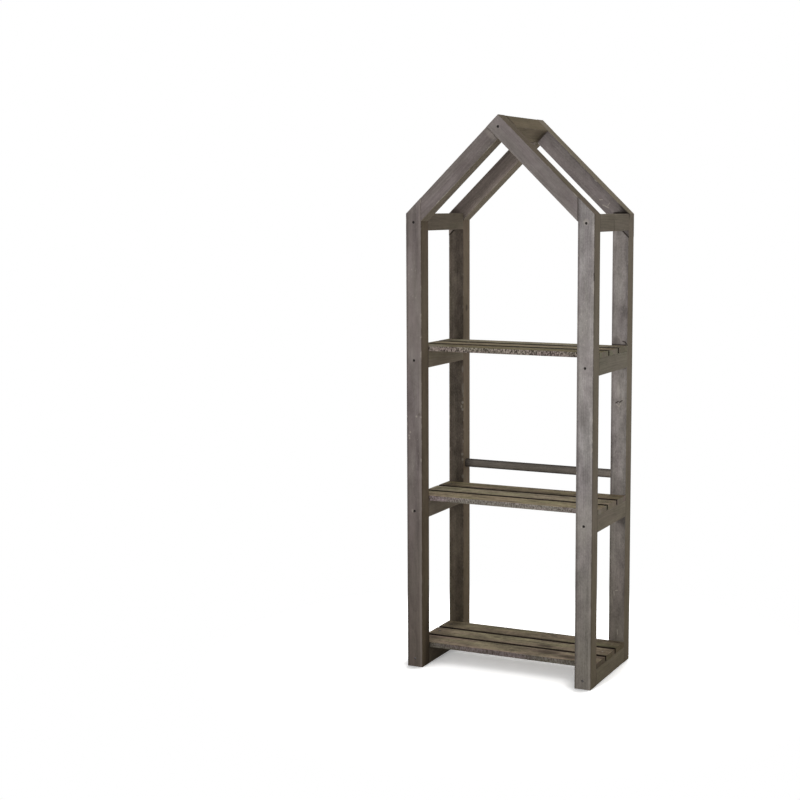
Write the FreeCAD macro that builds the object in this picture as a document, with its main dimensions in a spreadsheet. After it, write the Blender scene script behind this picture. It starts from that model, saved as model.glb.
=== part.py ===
import FreeCAD
import Part
import Sketcher
import math
import os

# House-shaped shelf unit: two batten frames, cross members between them, three slatted shelves and a rod.
# +Z is up and the front faces -Y. The origin is on the floor under the middle of the unit.

# Driving sizes in millimetres. A name that ends in share is a fraction.
SIZES = {
    "unit_width": 450,
    "unit_depth": 266,
    "eave_height": 1044,
    "apex_height": 1260,
    "batten": 38,
    "batten_rounding": 1.5,
    "shelf_spacing": 347,
    "slat_thickness": 12,
    "slat_gap": 7,
    "slat_clearance": 1,
    "slat_rounding": 1,
    "rod_diameter": 20,
    "rod_rise": 45,
    "rod_socket": 16,
    "rod_play": 0.2,
    "screw_length": 60,
    "screw_shank": 3.5,
    "screw_head": 6,
    "screw_tip": 6,
    "screw_sink": 1,
    "screw_play": 0.2,
    "recess_length": 3.2,
    "recess_width": 0.9,
    "recess_depth": 1.4,
    "nail_length": 25,
    "nail_shank": 2,
    "nail_head": 5,
    "nail_head_thickness": 1,
    "nail_tip": 3,
    "nail_play": 0.2,
    "dowel_length": 30,
    "dowel_diameter": 6,
    "dowel_play": 0.2,
    "apex_seat_share": 0.722,
    "apex_dowel_share": 0.78,
}
LONG_EDGE_SHARE = 0.6
SLATS = ("front", "middle", "rear")

doc = FreeCAD.newDocument("shelf_unit")
sheet = doc.addObject("Spreadsheet::Sheet", "Sizes")
for row, (alias, value) in enumerate(SIZES.items(), start=1):
    sheet.set(f"A{row}", alias)
    sheet.set(f"B{row}", str(value))
    sheet.setAlias(f"B{row}", alias)
doc.recompute()

# Derived sizes, as expressions on the sheet
BATTEN = "Sizes.batten"
EAVE = "Sizes.eave_height"
APEX = "Sizes.apex_height"
HALF_WIDTH = "(Sizes.unit_width / 2)"
HALF_DEPTH = "(Sizes.unit_depth / 2)"
HALF_BATTEN = "(Sizes.batten / 2)"
INNER_WIDTH = "(Sizes.unit_width - 2 * Sizes.batten)"
INNER_DEPTH = "(Sizes.unit_depth - 2 * Sizes.batten)"
INNER_EDGE = f"({HALF_WIDTH} - {BATTEN})"
POST_MIDDLE = f"({HALF_WIDTH} - {HALF_BATTEN})"

# The roof: its slope, and a rafter's depth measured straight down
ROOF_SLOPE = f"(({APEX} - {EAVE}) / {HALF_WIDTH})"
ROOF_COS = f"(1 / sqrt(1 + {ROOF_SLOPE} ^ 2))"
ROOF_SIN = f"({ROOF_SLOPE} * {ROOF_COS})"
RAFTER_DROP = f"({BATTEN} / {ROOF_COS})"
APEX_MIDDLE = f"({APEX} - {RAFTER_DROP} / 2)"

# The apex joint runs from the valley under the apex up to a seat in the plane of the left slope
VALLEY = f"({APEX} - {RAFTER_DROP})"
SEAT_RUN = f"(Sizes.apex_seat_share * {BATTEN})"
SEAT_HEIGHT = f"({APEX} - {SEAT_RUN} * {ROOF_SLOPE})"

# The shelves: slats share the depth between the posts
SLAT_SPAN = f"({INNER_DEPTH} - 2 * Sizes.slat_clearance - {len(SLATS) - 1} * Sizes.slat_gap)"
SLAT_WIDTH = f"({SLAT_SPAN} / {len(SLATS)})"
SLAT_PITCH = f"({SLAT_WIDTH} + Sizes.slat_gap)"
SLAT_MIDDLES = {"front": f"(-{SLAT_PITCH})", "middle": "0", "rear": SLAT_PITCH}
BOTTOM_TOP = f"({BATTEN} + Sizes.slat_thickness)"
SHELF_TOPS = {
    "bottom": BOTTOM_TOP,
    "middle": f"({BOTTOM_TOP} + Sizes.shelf_spacing)",
    "upper": f"({BOTTOM_TOP} + 2 * Sizes.shelf_spacing)",
}

# Heights of the cross members' middles, where the frame screws enter them
MEMBER_MIDDLES = {
    "base": HALF_BATTEN,
    "middle": f"({SHELF_TOPS['middle']} - Sizes.slat_thickness - {HALF_BATTEN})",
    "upper": f"({SHELF_TOPS['upper']} - Sizes.slat_thickness - {HALF_BATTEN})",
    "eave": f"({EAVE} - {HALF_BATTEN})",
}
POST_LEVELS = {"front": ("base", "middle", "upper", "eave"), "rear": ("base", "middle", "upper")}

# The rod and the fasteners
ROD_HEIGHT = f"({SHELF_TOPS['middle']} + Sizes.rod_rise)"
ROD_LENGTH = f"({INNER_WIDTH} + 2 * Sizes.rod_socket)"
SCREW_HEAD_DEPTH = "((Sizes.screw_head - Sizes.screw_shank) / 2)"
SCREW_PILOT = f"(Sizes.screw_sink + Sizes.screw_length - {BATTEN} + Sizes.screw_play)"
NAIL_PILOT = "(Sizes.nail_length - Sizes.slat_thickness + Sizes.nail_play)"

# Each frame is drawn as seen from its own outer face, so the rear one is turned about
FRAMES = {
    "front": {"y": f"-{HALF_DEPTH}"},
    "rear": {"y": HALF_DEPTH, "turned": True},
}
SIDES = {"left": -1, "right": 1}

sub_parts = []


def signed(side, expression):
    """Puts an x expression on the left (-1) or on the right (+1)."""
    return expression if side > 0 else f"(-{expression})"


def place(item, x="0", y="0", z="0", turned=False):
    """Binds where an object stands; a turned one faces the rear."""
    if turned:
        item.Placement.Rotation = FreeCAD.Rotation(FreeCAD.Vector(0, 0, 1), 180)
    for axis, expression in zip("xyz", (x, y, z)):
        item.setExpression(f".Placement.Base.{axis}", expression)


def new_body(label, **where):
    """Starts a piece."""
    body = doc.addObject("PartDesign::Body", label)
    body.Label = label
    place(body, **where)
    return body


def plane_of(body, role):
    """Finds one of a body's own origin planes."""
    return next(item for item in body.Origin.OriginFeatures if item.Role == role)


def new_sketch(body, role, offset="0"):
    """Adds a sketch on one of the body's own origin planes, shifted along the plane's normal."""
    sketch = body.newObject("Sketcher::SketchObject", "Sketch")
    sketch.AttachmentSupport = [(plane_of(body, role), "")]
    sketch.MapMode = "FlatFace"
    sketch.setExpression(".AttachmentOffset.Base.z", offset)
    return sketch


def bind_point(sketch, geometry, position, start, point):
    """Ties one point of a sketch to two expressions, measured from the sketch's origin."""
    for kind, begin, expression in zip(("DistanceX", "DistanceY"), start, point):
        index = sketch.addConstraint(Sketcher.Constraint(kind, -1, 1, geometry, position, begin))
        sketch.setExpression(f"Constraints[{index}]", expression)


def polygon(sketch, points):
    """Draws a closed outline through points given as expressions, starting from a unit polygon."""
    count = len(points)
    turns = [2 * math.pi * index / count for index in range(count)]
    corners = [FreeCAD.Vector(math.cos(turn), math.sin(turn), 0) for turn in turns]
    for index in range(count):
        sketch.addGeometry(Part.LineSegment(corners[index - 1], corners[index]), False)
    for index in range(count):
        sketch.addConstraint(Sketcher.Constraint("Coincident", (index - 1) % count, 2, index, 1))
        bind_point(sketch, index, 2, corners[index], points[index])
    return sketch


def rectangle(sketch, x0, x1, y0, y1):
    """Draws a rectangle between four expressions."""
    return polygon(sketch, [(x0, y0), (x1, y0), (x1, y1), (x0, y1)])


def circles(sketch, points, diameter):
    """Draws equal circles at points given as expressions, starting from unit circles."""
    for point in points:
        start = FreeCAD.Vector(0, 0, 0)
        geometry = sketch.addGeometry(Part.Circle(start, FreeCAD.Vector(0, 0, 1), 1), False)
        bind_point(sketch, geometry, 3, start, point)
        index = sketch.addConstraint(Sketcher.Constraint("Diameter", geometry, 2))
        sketch.setExpression(f"Constraints[{index}]", diameter)
    return sketch


def add_feature(body, kind, **settings):
    """Adds a feature to a piece; a text setting that names a size is bound to it."""
    feature = body.newObject(f"PartDesign::{kind}", kind)
    for name, setting in settings.items():
        if isinstance(setting, str) and "Sizes." in setting:
            feature.setExpression(name, setting)
        else:
            setattr(feature, name, setting)
    doc.recompute()
    return feature


def cut_feature(body, kind, **settings):
    """Adds a feature that has to take material away."""
    before = body.Shape.Volume
    feature = add_feature(body, kind, **settings)
    assert body.Shape.Volume < before, f"{body.Label}: {feature.Name} cuts nothing"
    return feature


def round_long_edges(body, radius):
    """Rounds the edges that run along a piece."""
    edges = body.Tip.Shape.Edges
    longest = max(edge.Length for edge in edges)
    names = [f"Edge{n}" for n, edge in enumerate(edges, start=1) if edge.Length > LONG_EDGE_SHARE * longest]
    add_feature(body, "Fillet", Base=(body.Tip, names), Radius=radius)


def sunk_holes(body, role, points, cut, **sizes):
    """Drills holes right through, with a seat for the fastener's head in the sketch's plane."""
    sketch = circles(new_sketch(body, role), points, sizes["Diameter"])
    doc.recompute()
    plain = {"ThreadType": "None", "DepthType": "ThroughAll"}
    seat = {"HoleCutType": cut, "HoleCutCustomValues": True}
    cut_feature(body, "Hole", Profile=sketch, **plain, **seat, **sizes)


def screw_holes(body, points):
    """Drills a frame piece for its screws, from its outer face; the heads have a right-angled cone."""
    sunk_holes(
        body, "XZ_Plane", points, "Counterdrill",
        Diameter="Sizes.screw_shank + Sizes.screw_play",
        HoleCutDiameter="Sizes.screw_head + Sizes.screw_play",
        HoleCutDepth="Sizes.screw_sink",
        HoleCutCountersinkAngle=90,
    )


def pin(body, kind, joint, diameter, length):
    """Turns a pin (Revolution) or its bore (Groove) about a slanted axis, at half a frame's thickness."""
    x, z, cos, sin = joint
    corners = []
    for along, across in ((-1, 0), (1, 0), (1, 1), (-1, 1)):
        run = f"({along} * {length} / 2)"
        off = f"({across} * {diameter} / 2)"
        corners.append((f"{x} + {run} * {cos} - {off} * {sin}", f"{z} + {run} * {sin} + {off} * {cos}"))
    sketch = polygon(new_sketch(body, "XZ_Plane", f"-{HALF_BATTEN}"), corners)
    make = cut_feature if kind == "Groove" else add_feature
    make(body, kind, Profile=sketch, ReferenceAxis=(sketch, ["Edge2"]), Angle=360)


def dowel_hole(body, joint):
    """Bores one piece's share of a dowel joint."""
    diameter = "(Sizes.dowel_diameter + Sizes.dowel_play)"
    length = "(Sizes.dowel_length + 2 * Sizes.dowel_play)"
    pin(body, "Groove", joint, diameter, length)


def foot_joint(frame, side):
    """Place and direction of the dowel between a post and a rafter."""
    if frame == "front":
        height = f"({EAVE} + {BATTEN} * {ROOF_SLOPE} - {RAFTER_DROP} / 2)"
        return signed(side, INNER_EDGE), height, "1", "0"
    height = f"({EAVE} - {RAFTER_DROP} + {HALF_BATTEN} * {ROOF_SLOPE})"
    return signed(side, POST_MIDDLE), height, signed(side, ROOF_SIN), ROOF_COS


def apex_joint():
    """Place and direction of the dowel between the two rafters, along the left one under the screw."""
    x = f"(-{SEAT_RUN} * (1 - Sizes.apex_dowel_share))"
    height = f"({SEAT_HEIGHT} - ({SEAT_HEIGHT} - {VALLEY}) * Sizes.apex_dowel_share)"
    return x, height, ROOF_COS, ROOF_SIN


def frame_piece(label, frame, outline):
    """Cuts one flat piece of a frame out of batten."""
    body = new_body(label, **FRAMES[frame])
    sketch = polygon(new_sketch(body, "XZ_Plane"), outline)
    add_feature(body, "Pad", Profile=sketch, Length=BATTEN, Reversed=True)
    round_long_edges(body, "Sizes.batten_rounding")
    sub_parts.append(body)
    return body


def post(label, frame, side):
    """Upright, cut at the top to the roof slope (front) or to the rafter's underside (rear)."""
    outer_top = EAVE if frame == "front" else f"({EAVE} - {RAFTER_DROP})"
    inner_top = f"({outer_top} + {BATTEN} * {ROOF_SLOPE})"
    outer = signed(side, HALF_WIDTH)
    inner = signed(side, INNER_EDGE)
    body = frame_piece(label, frame, [(outer, "0"), (inner, "0"), (inner, inner_top), (outer, outer_top)])
    middle = signed(side, POST_MIDDLE)
    screw_holes(body, [(middle, MEMBER_MIDDLES[level]) for level in POST_LEVELS[frame]])
    dowel_hole(body, foot_joint(frame, side))
    return body


def rod_socket(body):
    """Bores the blind socket for the rod, in line with the rod itself."""
    sketch = new_sketch(body, "YZ_Plane")
    circles(sketch, [(HALF_BATTEN, ROD_HEIGHT)], "Sizes.rod_diameter + Sizes.rod_play")
    cut_feature(body, "Pocket", Profile=sketch, SideType="Symmetric", Length=f"{ROD_LENGTH} + Sizes.rod_play")


def rafter(label, frame, side):
    """Sloping piece; as seen, the right one runs through to the apex and the left one butts under it."""
    foot = INNER_EDGE if frame == "front" else HALF_WIDTH
    foot_top = f"({EAVE} + ({HALF_WIDTH} - {foot}) * {ROOF_SLOPE})"
    foot_bottom = f"({foot_top} - {RAFTER_DROP})"
    foot_x = signed(side, foot)
    ends = [("0", VALLEY), (f"(-{SEAT_RUN})", SEAT_HEIGHT)]
    if side > 0:
        ends.append(("0", APEX))
    body = frame_piece(label, frame, ends + [(foot_x, foot_top), (foot_x, foot_bottom)])
    screws = [("0", APEX_MIDDLE)] if side > 0 else []
    if frame == "rear":
        screws.append((signed(side, POST_MIDDLE), MEMBER_MIDDLES["eave"]))
    if screws:
        screw_holes(body, screws)
    dowel_hole(body, foot_joint(frame, side))
    dowel_hole(body, apex_joint())
    return body


def end_pilots(body, point):
    """Drills both ends of a cross member for the frame screws."""
    sketch = new_sketch(body, "XZ_Plane", f"{INNER_DEPTH} / 2")
    circles(sketch, [point], "Sizes.screw_shank + Sizes.screw_play")
    pocket = cut_feature(body, "Pocket", Profile=sketch, Length=SCREW_PILOT)
    mirror_plane = (plane_of(body, "XZ_Plane"), [""])
    mirrored = body.newObject("PartDesign::Mirrored", "Mirrored")
    mirrored.Originals = [pocket]
    mirrored.MirrorPlane = mirror_plane
    body.Tip = mirrored
    doc.recompute()


def cross_member(label, outline, pilot, **where):
    """Batten from frame to frame."""
    body = new_body(label, **where)
    sketch = polygon(new_sketch(body, "XZ_Plane"), outline)
    add_feature(body, "Pad", Profile=sketch, Length=INNER_DEPTH, SideType="Symmetric")
    round_long_edges(body, "Sizes.batten_rounding")
    end_pilots(body, pilot)
    sub_parts.append(body)
    return body


def rail(label, level, side, nailed):
    """Level cross member beside the posts; a nailed one carries slats."""
    low = f"-{HALF_BATTEN}"
    outline = [(low, low), (HALF_BATTEN, low), (HALF_BATTEN, HALF_BATTEN), (low, HALF_BATTEN)]
    where = {"x": signed(side, POST_MIDDLE), "z": MEMBER_MIDDLES[level]}
    body = cross_member(label, outline, ("0", "0"), **where)
    if nailed:
        sketch = new_sketch(body, "XY_Plane", HALF_BATTEN)
        places = [("0", middle) for middle in SLAT_MIDDLES.values()]
        circles(sketch, places, "Sizes.nail_shank + Sizes.nail_play")
        cut_feature(body, "Pocket", Profile=sketch, Length=NAIL_PILOT)


def ridge():
    """Square batten tucked under the apex, one face in the plane of the right-hand slope."""
    along = (f"{BATTEN} * {ROOF_COS}", f"{BATTEN} * {ROOF_SIN}")
    under = (f"{BATTEN} * {ROOF_SIN}", f"{BATTEN} * {ROOF_COS}")
    outline = [
        ("0", APEX),
        (along[0], f"{APEX} - {along[1]}"),
        (f"{along[0]} - {under[0]}", f"{APEX} - {along[1]} - {under[1]}"),
        (f"-{under[0]}", f"{APEX} - {under[1]}"),
    ]
    cross_member("ridge_batten", outline, ("0", APEX_MIDDLE))


def slat(label, shelf, row):
    """Board that lies across two bearers; its own origin is in its top face."""
    body = new_body(label, y=SLAT_MIDDLES[row], z=SHELF_TOPS[shelf])
    sketch = new_sketch(body, "YZ_Plane")
    rectangle(sketch, f"-{SLAT_WIDTH} / 2", f"{SLAT_WIDTH} / 2", "-Sizes.slat_thickness", "0")
    add_feature(body, "Pad", Profile=sketch, Length="Sizes.unit_width", SideType="Symmetric")
    round_long_edges(body, "Sizes.slat_rounding")
    sunk_holes(
        body, "XY_Plane", [(signed(side, POST_MIDDLE), "0") for side in SIDES.values()], "Counterbore",
        Diameter="Sizes.nail_shank + Sizes.nail_play",
        HoleCutDiameter="Sizes.nail_head + Sizes.nail_play",
        HoleCutDepth="Sizes.nail_head_thickness",
    )
    sub_parts.append(body)


def rod():
    """Round rod between the rear posts."""
    body = new_body("hanging_rod", y=f"{HALF_DEPTH} - {HALF_BATTEN}", z=ROD_HEIGHT)
    sketch = circles(new_sketch(body, "YZ_Plane"), [("0", "0")], "Sizes.rod_diameter")
    add_feature(body, "Pad", Profile=sketch, Length=ROD_LENGTH, SideType="Symmetric")
    sub_parts.append(body)


def screw():
    """Countersunk screw with a cross recess, head at the origin and tip towards +Y."""
    body = new_body("frame_screw")
    profile = [
        ("0", "0"),
        ("Sizes.screw_head / 2", "0"),
        ("Sizes.screw_shank / 2", SCREW_HEAD_DEPTH),
        ("Sizes.screw_shank / 2", "Sizes.screw_length - Sizes.screw_tip"),
        ("0", "Sizes.screw_length"),
    ]
    sketch = polygon(new_sketch(body, "XY_Plane"), profile)
    add_feature(body, "Revolution", Profile=sketch, ReferenceAxis=(sketch, ["V_Axis"]), Angle=360)
    arms = ("Sizes.recess_length / 2", "Sizes.recess_width / 2")
    for across, up in (arms, arms[::-1]):
        slot = rectangle(new_sketch(body, "XZ_Plane"), f"-{across}", across, f"-{up}", up)
        cut_feature(body, "Pocket", Profile=slot, Length="Sizes.recess_depth")
    return body


def nail():
    """Flat-headed nail, head at the origin and tip downwards."""
    body = new_body("slat_nail")
    profile = [
        ("0", "0"),
        ("Sizes.nail_head / 2", "0"),
        ("Sizes.nail_head / 2", "-Sizes.nail_head_thickness"),
        ("Sizes.nail_shank / 2", "-Sizes.nail_head_thickness"),
        ("Sizes.nail_shank / 2", "Sizes.nail_tip - Sizes.nail_length"),
        ("0", "-Sizes.nail_length"),
    ]
    sketch = polygon(new_sketch(body, "XZ_Plane"), profile)
    add_feature(body, "Revolution", Profile=sketch, ReferenceAxis=(sketch, ["V_Axis"]), Angle=360)
    return body


def dowel(frame, name, joint):
    """Dowel in the frame's own plane."""
    body = new_body(f"{frame}_{name}_dowel")
    pin(body, "Revolution", joint, "Sizes.dowel_diameter", "Sizes.dowel_length")
    return body


def copies(master, places):
    """Links to one fastener at several places."""
    links = []
    for x, y, z in places:
        link = doc.addObject("App::Link", f"{master.Name}_copy")
        link.LinkedObject = master
        place(link, x, y, z)
        links.append(link)
    return links


def group(label, members, **where):
    """Gathers like fasteners in one node, as separate solids."""
    compound = doc.addObject("Part::Compound", label)
    compound.Label = label
    compound.Links = members
    place(compound, **where)
    sub_parts.append(compound)


# The two frames; a turned frame's left is the unit's right
for frame in FRAMES:
    for name, side in SIDES.items():
        own_side = side if frame == "front" else -side
        upright = post(f"{frame}_{name}_post", frame, own_side)
        if frame == "rear":
            rod_socket(upright)
        rafter(f"{frame}_{name}_rafter", frame, own_side)

# The cross members between them
ridge()
for name, side in SIDES.items():
    rail(f"{name}_eave_rail", "eave", side, False)
    rail(f"upper_{name}_bearer", "upper", side, True)
    rail(f"middle_{name}_bearer", "middle", side, True)
    rail(f"{name}_base_rail", "base", side, True)

# The shelves and the rod
for shelf in SHELF_TOPS:
    for row in SLATS:
        slat(f"{shelf}_{row}_slat", shelf, row)
rod()

# The fasteners
screw_places = [("0", "0", APEX_MIDDLE)]
nail_places = []
for side in SIDES.values():
    middle = signed(side, POST_MIDDLE)
    screw_places += [(middle, "0", height) for height in MEMBER_MIDDLES.values()]
    nail_places += [(middle, y, "0") for y in SLAT_MIDDLES.values()]
screws = copies(screw(), screw_places)
group("front_frame_screws", screws, y=f"Sizes.screw_sink - {HALF_DEPTH}")
group("rear_frame_screws", screws, y=f"{HALF_DEPTH} - Sizes.screw_sink", turned=True)
nails = copies(nail(), nail_places)
for shelf, top in SHELF_TOPS.items():
    group(f"{shelf}_slat_nails", nails, z=top)
for frame, where in FRAMES.items():
    dowels = [dowel(frame, name, foot_joint(frame, side)) for name, side in SIDES.items()]
    dowels.append(dowel(frame, "apex", apex_joint()))
    group(f"{frame}_frame_dowels", dowels, **where)
doc.recompute()

# Nothing is written unless every object is sound
for item in doc.Objects:
    assert not {"Invalid", "Error"} & set(item.State), f"{item.Label} failed"
for item in sub_parts:
    assert not item.Shape.isNull() and item.Shape.isValid(), f"{item.Label} has no sound shape"
os.makedirs("parts", exist_ok=True)
for item in sub_parts:
    item.Shape.exportStep(os.path.join("parts", f"{item.Label}.step"))
    print(f"{item.Label}: {len(item.Shape.Solids)} solid(s), {item.Shape.Volume:.0f} mm3")
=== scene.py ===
import math
import random

import bmesh
import bpy
from bpy.props import FloatProperty, FloatVectorProperty, PointerProperty
from mathutils import Euler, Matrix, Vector


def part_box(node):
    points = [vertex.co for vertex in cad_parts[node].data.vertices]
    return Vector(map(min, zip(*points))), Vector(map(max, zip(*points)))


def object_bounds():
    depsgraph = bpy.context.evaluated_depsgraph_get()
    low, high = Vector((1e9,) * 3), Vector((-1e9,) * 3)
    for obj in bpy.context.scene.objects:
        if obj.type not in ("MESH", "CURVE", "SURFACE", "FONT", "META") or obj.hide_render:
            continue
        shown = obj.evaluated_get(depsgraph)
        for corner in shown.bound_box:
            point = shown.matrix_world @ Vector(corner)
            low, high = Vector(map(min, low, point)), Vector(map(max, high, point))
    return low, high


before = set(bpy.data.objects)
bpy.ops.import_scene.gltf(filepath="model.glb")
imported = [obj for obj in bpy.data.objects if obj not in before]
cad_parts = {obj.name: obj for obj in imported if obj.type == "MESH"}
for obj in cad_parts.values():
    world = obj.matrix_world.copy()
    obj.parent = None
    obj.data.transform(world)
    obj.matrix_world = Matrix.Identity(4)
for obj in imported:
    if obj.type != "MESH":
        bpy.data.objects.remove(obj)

bl_info = {
    "name": "House-shaped shelf unit",
    "version": (1, 0, 0),
    "blender": (4, 5, 0),
    "location": "View3D > Sidebar > Shelf unit",
    "description": "Dresses the packed shelf unit in stained timber and sets the studio round it",
    "category": "Object",
}

CAD_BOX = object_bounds()

# Patterns are drawn in millimetres, along and across each piece, and go from 0 to 1 round a middle
MM_PER_M = 1000.0
MIDDLE = 0.5

# The unit's own measures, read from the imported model
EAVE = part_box("left_eave_rail")[1].z
APEX = CAD_BOX[1].z
HALF_WIDTH = (CAD_BOX[1].x - CAD_BOX[0].x) / 2
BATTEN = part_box("left_eave_rail")[1].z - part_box("left_eave_rail")[0].z
BATTEN_HALF = (BATTEN / 2 * MM_PER_M,) * 2
PITCH = math.atan2(APEX - EAVE, HALF_WIDTH)
RAFTER_DROP = BATTEN / math.cos(PITCH)
APEX_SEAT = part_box("front_left_rafter")[1].z

# The mix node's sockets for colours: factor, first and second colour, and the result
MIX_INPUTS, MIX_OUTPUT = (0, 6, 7), 2

FRAMES = ("front", "rear")
SHELVES = ("bottom", "middle", "upper")
SLAT_ROWS = ("front", "middle", "rear")


def linear(red, green, blue):
    """Turns a colour as seen on a screen, 0 to 255, into the linear one that shaders use.

    The numbers are those of the standard screen curve.
    """
    parts = []
    for value in (red, green, blue):
        share = value / 255
        parts.append(share / 12.92 if share <= 0.04045 else ((share + 0.055) / 1.055) ** 2.4)
    return tuple(parts)


def setting(kind, **more):
    """Makes a short way to write settings of one kind."""

    def named(name, description, default):
        return kind(name=name, description=description, default=default, **more)

    return named


colour_property = setting(FloatVectorProperty, subtype="COLOR", min=0, max=1)
place_property = setting(FloatVectorProperty, subtype="TRANSLATION")
direction_property = setting(FloatVectorProperty, subtype="DIRECTION")
length_property = setting(FloatProperty, unit="LENGTH", min=0)
power_property = setting(FloatProperty, unit="POWER", min=0)
angle_property = setting(FloatProperty, subtype="ANGLE")
share_property = setting(FloatProperty, subtype="FACTOR", min=0, max=4)


class TimberFinish(bpy.types.PropertyGroup):
    """Colours and grain of the stained timber"""

    # Front grey against side olive is partly painted light: the cooler grey of faces that look to the
    # front or rear stands in for cooler light on them
    front_grey: colour_property(
        "Front grey", "Stain on faces that look to the front or rear", linear(125, 117, 114)
    )
    side_olive: colour_property(
        "Side olive", "Stain on faces that look sideways, up or down", linear(129, 119, 104)
    )
    # The olive of the slats' tops, with their tones further down, is partly painted light from above
    slat_olive: colour_property("Slat olive", "Stain on the slats' tops", linear(143, 131, 109))
    sawn_grey: colour_property("Sawn grey", "Rough-sawn edges of the slats", linear(138, 128, 125))
    # The bloom is laid only on faces that look to the front or rear: partly a thin-stained bloom, partly
    # painted sheen
    bloom_and_painted_sheen: colour_property("Bloom", "Cool bloom where the stain is thin", linear(148, 144, 142))
    # The worn colour also paints light among the scuffs
    worn_and_painted_light: colour_property("Worn", "Wood that shows through at worn places", linear(178, 170, 158))
    knot: colour_property("Knot", "Heart of a knot", linear(52, 43, 36))
    # The seam colour also paints the shade along the gaps between slats and the painted shadows among
    # the stains
    seam: colour_property("Seam", "Stain gathered in joints and gaps", linear(29, 20, 13))
    rod_brown: colour_property("Rod brown", "Stain on the hanging rod", linear(103, 97, 91))
    dowel: colour_property("Dowel", "Plain wood of the hidden dowels", linear(190, 158, 118))
    screw: colour_property("Screw", "Blackened steel of the screws", linear(40, 38, 37))
    nail: colour_property("Nail", "Dull steel of the nails", linear(42, 37, 32))
    ring_width: length_property("Ring width", "Width of a year ring", 0.0046)
    wear_width: length_property("Wear width", "How far wear reaches in from an edge", 0.0034)
    # Painted shade along the gaps between slats: how far it reaches in
    gap_shade_width: length_property(
        "Pool width", "How far stain gathers in from a gap between slats", 0.0034
    )
    relief: length_property("Relief", "Height of the raised grain", 0.00035)
    ring_depth: share_property("Ring depth", "How much a year ring darkens the stain", 0.10)
    fibre_depth: share_property("Fibre depth", "How much the fibres streak the stain", 0.28)
    blotch_depth: share_property("Blotch depth", "How unevenly the stain has taken", 0.40)
    speckle_depth: share_property("Speckle depth", "How speckled the surface is", 0.32)
    top_depth: share_property("Top depth", "How streaky the slats' tops are", 0.55)
    # Painted shade: the colour goes darker and browner towards the foot, standing in for light that
    # falls off towards the floor
    painted_foot_shade: colour_property(
        "Foot shade", "How the stain darkens and browns towards the foot", (0.68, 0.66, 0.59)
    )


class StudioSetup(bpy.types.PropertyGroup):
    """Floor, light and camera"""

    floor: colour_property("Floor", "Pale floor", linear(215, 215, 215))
    ambient: share_property("Ambient", "Even light from all round", 0.50)
    floor_gain: share_property("Floor gain", "How strongly the floor shows its light", 2.6)
    floor_size: length_property("Floor size", "Side of the floor", 24.0)
    floor_reach: length_property("Floor reach", "How far from the unit the floor takes its shadow", 0.75)
    # A painted shadow on the floor close round the unit's feet and rails: a flat grey glow mixed in
    # where the unit hems the floor in
    contact_reach: length_property(
        "Contact reach", "How far the close shade on the floor reaches from the unit", 0.046
    )
    contact_depth: share_property(
        "Contact depth", "How much of the floor's own light that shade replaces", 0.85
    )
    contact_shade: share_property("Contact shade", "How light that shade is", 0.42)
    contact_side: direction_property(
        "Contact side", "Which way that shade looks for the unit", (0.3, 0.75, 0.6)
    )
    key_power: power_property("Key power", "Power of the key light", 40.0)
    key_size: length_property("Key size", "Side of the key light", 0.3)
    key_place: place_property("Key place", "Where the key light stands", (-0.35, -2.8, 0.78))
    fill_power: power_property("Fill power", "Power of the fill light behind", 32.0)
    fill_size: length_property("Fill size", "Side of the fill light", 1.4)
    fill_place: place_property("Fill place", "Where the fill light stands", (-0.05, 2.75, 1.7))
    aim: place_property("Aim", "What the lights point at", (0.0, 0.0, 0.72))
    camera_place: place_property("Camera place", "Where the camera stands", (1.3346, -3.2274, 1.0670))
    camera_yaw: angle_property("Camera yaw", "Turn to the left", math.radians(24.427))
    camera_pitch: angle_property("Camera pitch", "Tilt downwards", math.radians(6.281))
    lens: FloatProperty(name="Lens", description="Focal length", default=68.892, unit="CAMERA")
    shift: FloatVectorProperty(
        name="Shift", description="Lens shift", default=(-0.0852, -0.0350), size=2
    )


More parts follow.
